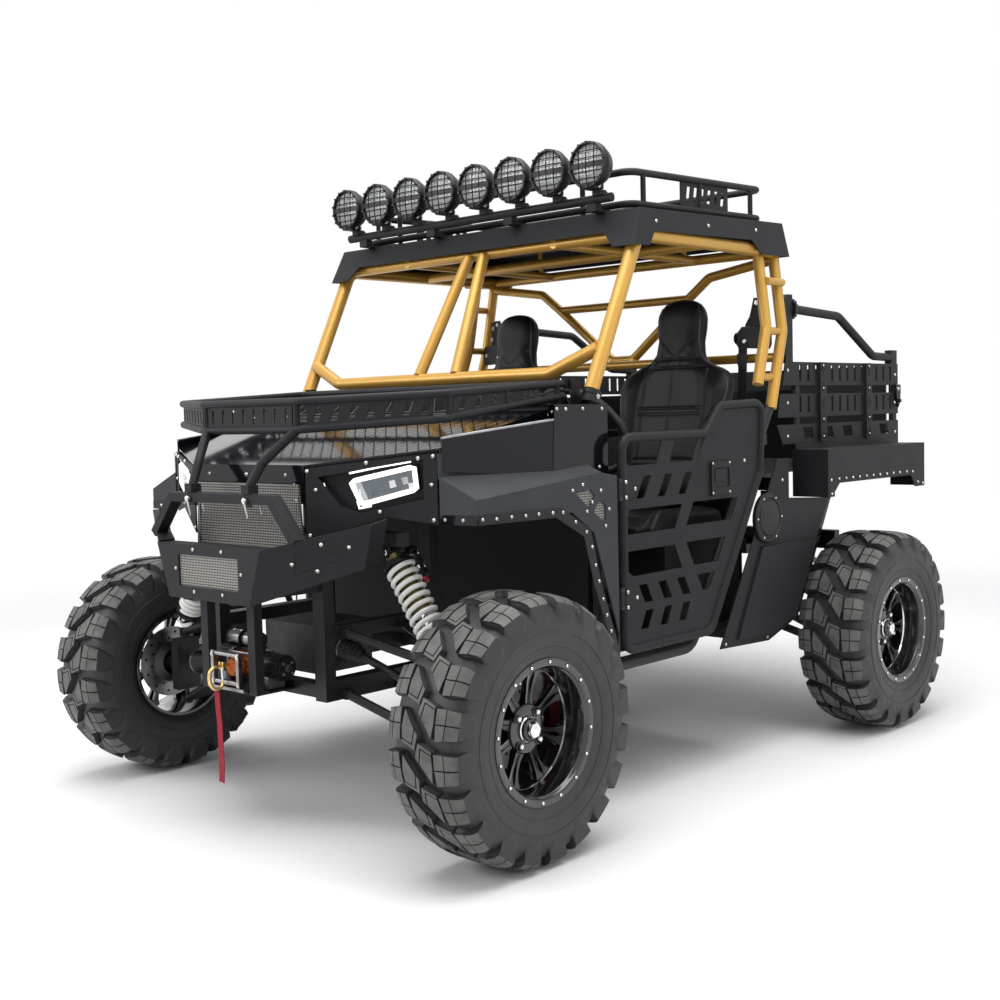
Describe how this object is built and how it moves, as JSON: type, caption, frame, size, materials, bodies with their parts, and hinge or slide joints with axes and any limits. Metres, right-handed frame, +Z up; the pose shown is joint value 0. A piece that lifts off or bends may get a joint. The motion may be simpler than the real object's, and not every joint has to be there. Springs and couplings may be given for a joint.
{
  "type": "side by side utv",
  "caption": "Two-seat side by side utility vehicle with a tube cage, roof basket and lamps, front rack, bull bar with winch, cut-out doors, a tipping bed and mud tyres",
  "frame": {"origin": "on the ground, below the middle of the overall box of the vehicle without its strap", "axes": "+X is the vehicle's left, -Y its front, +Z up"},
  "size_m": [2.022, 3.074, 2.1016],
  "materials": {
    "frame_black": "satin black powder coat on steel tube",
    "panel_black": "fine textured charcoal black powder coat",
    "gloss_black": "glossy black paint",
    "cage_gold": "satin gold powder coat",
    "cast_alloy": "dark cast metal",
    "lamp_plastic": "moulded black lamp housing",
    "mesh_steel": "woven steel mesh",
    "winch_metal": "cast and plated winch body",
    "hook_gold": "yellow zinc plated hook",
    "strap_red": "woven red webbing",
    "dash_plastic": "grained black plastic",
    "seat_leather": "black stitched synthetic leather",
    "spring_white": "white coated coil spring",
    "lamp_lens": "clear ribbed lamp lens",
    "caliper_red": "red painted brake caliper",
    "rim_black": "gloss black painted alloy wheel",
    "tyre_rubber": "black rubber"
  },
  "bodies": {
    "root": {"chassis": "frame_black", "floor_pan": "panel_black", "engine": "cast_alloy", "roll_cage": "cage_gold", "roof_panel": "panel_black", "roof_basket": "panel_black", "lamp_bar": "panel_black", "roof_lamps": "lamp_plastic", "hood": "gloss_black", "grille": "mesh_steel", "headlamps": "panel_black", "front_bumper": "panel_black", "winch": "winch_metal", "winch_hook": "hook_gold", "pull_strap": "strap_red", "front_flares": "panel_black", "quarter_panels": "panel_black", "dashboard": "dash_plastic", "seat_left": "seat_leather", "seat_right": "seat_leather", "side_frames": "frame_black", "upper_frame": "frame_black", "belt_reels": "dash_plastic", "cowl_panels": "gloss_black", "lamp_lenses": "lamp_lens", "front_arms": "frame_black", "front_shocks": "spring_white", "rear_shocks": "spring_white", "front_drive": "cast_alloy", "rear_drive": "cast_alloy", "rear_arms": "frame_black", "rear_bumper": "frame_black"},
    "knuckle_left": {"knuckle_left": "cast_alloy", "caliper_left": "caliper_red"},
    "knuckle_right": {"knuckle_right": "cast_alloy", "caliper_right": "caliper_red"},
    "wheel_front_left": {"rim_front_left": "rim_black", "tyre_front_left": "tyre_rubber"},
    "wheel_front_right": {"rim_front_right": "rim_black", "tyre_front_right": "tyre_rubber"},
    "wheel_rear_left": {"rim_rear_left": "rim_black", "tyre_rear_left": "tyre_rubber"},
    "wheel_rear_right": {"rim_rear_right": "rim_black", "tyre_rear_right": "tyre_rubber"},
    "steering_wheel": {"steering_wheel": "dash_plastic"},
    "front_rack": {"rack": "panel_black", "rack_floor": "panel_black"},
    "door_left": {"door_left": "panel_black"},
    "door_right": {"door_right": "panel_black"},
    "cargo_bed": {"bed_tub": "panel_black", "bed_rails": "panel_black", "rear_fenders": "panel_black"},
    "tailgate": {"tailgate": "panel_black"}
  },
  "joints": [
    {"name": "steer_left", "type": "hinge", "parent": "root", "child": "knuckle_left", "pos_m": [0.725, -1.138, 0.376], "axis": [0, 0, 1], "range_deg": [-30, 30]},
    {"name": "steer_right", "type": "hinge", "parent": "root", "child": "knuckle_right", "pos_m": [-0.725, -1.138, 0.376], "axis": [0, 0, 1], "range_deg": [-30, 30]},
    {"name": "steering_column", "type": "hinge", "parent": "root", "child": "steering_wheel", "pos_m": [0.41, -0.268, 1.17], "axis": [0, 0.8192, 0.5736], "range_deg": [-360, 360]},
    {"name": "roll_front_left", "type": "hinge", "parent": "knuckle_left", "child": "wheel_front_left", "pos_m": [0.86, -1.138, 0.376], "axis": [1, 0, 0], "continuous": true},
    {"name": "roll_front_right", "type": "hinge", "parent": "knuckle_right", "child": "wheel_front_right", "pos_m": [-0.86, -1.138, 0.376], "axis": [1, 0, 0], "continuous": true},
    {"name": "roll_rear_left", "type": "hinge", "parent": "root", "child": "wheel_rear_left", "pos_m": [0.879, 0.916, 0.376], "axis": [1, 0, 0], "continuous": true},
    {"name": "roll_rear_right", "type": "hinge", "parent": "root", "child": "wheel_rear_right", "pos_m": [-0.879, 0.916, 0.376], "axis": [1, 0, 0], "continuous": true},
    {"name": "rack_lift", "type": "hinge", "parent": "root", "child": "front_rack", "pos_m": [0, -0.598, 1.328], "axis": [-1, 0, 0], "range_deg": [0, 60]},
    {"name": "door_left_swing", "type": "hinge", "parent": "root", "child": "door_left", "pos_m": [0.79, -0.558, 0.8], "axis": [0, 0, -1], "range_deg": [0, 70]},
    {"name": "door_right_swing", "type": "hinge", "parent": "root", "child": "door_right", "pos_m": [-0.79, -0.558, 0.8], "axis": [0, 0, 1], "range_deg": [0, 70]},
    {"name": "bed_tip", "type": "hinge", "parent": "root", "child": "cargo_bed", "pos_m": [0, 1.262, 0.985], "axis": [-1, 0, 0], "range_deg": [0, 45]},
    {"name": "tailgate_drop", "type": "hinge", "parent": "cargo_bed", "child": "tailgate", "pos_m": [0, 1.503, 1.048], "axis": [-1, 0, 0], "range_deg": [0, 90]}
  ],
  "couplings": [
    {"joint": "steer_right", "follows": "steer_left", "ratio": 1},
    {"joint": "steering_column", "follows": "steer_left", "ratio": -12}
  ]
}
